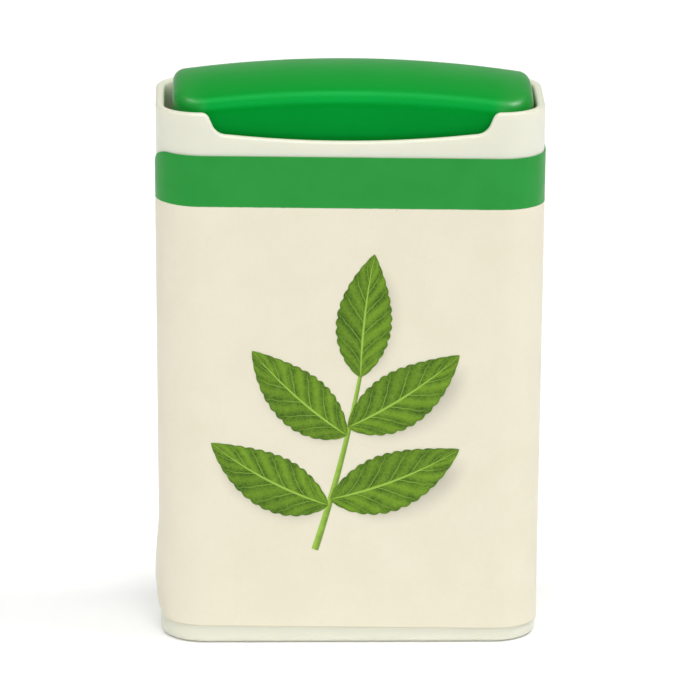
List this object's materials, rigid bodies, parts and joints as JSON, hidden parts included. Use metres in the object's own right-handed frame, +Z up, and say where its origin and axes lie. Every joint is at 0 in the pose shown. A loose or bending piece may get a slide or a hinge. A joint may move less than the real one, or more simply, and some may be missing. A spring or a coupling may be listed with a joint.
{
  "type": "tablet dispenser",
  "caption": "Pocket sweetener tablet dispenser: flat white housing with a wrap-around label and a crowned green push button that drives a spring-backed dosing slide.",
  "frame": {"origin": "centre of the underside, where the dispenser stands", "axes": "+Z up through the button, +X to the right along the wide front, -Y towards the viewer"},
  "size_m": [0.0373, 0.0164, 0.0558],
  "materials": {
    "housing_white": "satin moulded plastic",
    "button_green": "semi-gloss moulded plastic",
    "natural_plastic": "satin moulded plastic",
    "printed_label": "printed label with a soft gloss",
    "tablet": "pressed, chalky"
  },
  "bodies": {
    "shell": {"housing": "housing_white", "label": "printed_label", "return_spring_left": "natural_plastic", "return_spring_right": "natural_plastic", "tablet_left_1": "tablet", "tablet_left_2": "tablet", "tablet_left_3": "tablet", "tablet_left_4": "tablet", "tablet_left_5": "tablet", "tablet_left_6": "tablet", "tablet_left_7": "tablet", "tablet_left_8": "tablet", "tablet_left_9": "tablet", "tablet_left_10": "tablet", "tablet_left_11": "tablet", "tablet_left_12": "tablet", "tablet_right_1": "tablet", "tablet_right_2": "tablet", "tablet_right_3": "tablet", "tablet_right_4": "tablet", "tablet_right_5": "tablet", "tablet_right_6": "tablet", "tablet_right_7": "tablet", "tablet_right_8": "tablet", "tablet_right_9": "tablet", "tablet_right_10": "tablet", "tablet_right_11": "tablet", "tablet_right_12": "tablet"},
    "button": {"push_button": "button_green", "dosing_slide": "natural_plastic", "tablet_in_pocket": "tablet"}
  },
  "joints": [
    {"name": "button_press", "type": "slide", "parent": "shell", "child": "button", "axis": [0, 0, -1], "range_m": [0, 0.0045], "stiffness_N_per_m": 600, "springref_m": -0.0025, "deforming": ["return_spring_left", "return_spring_right"]}
  ]
}
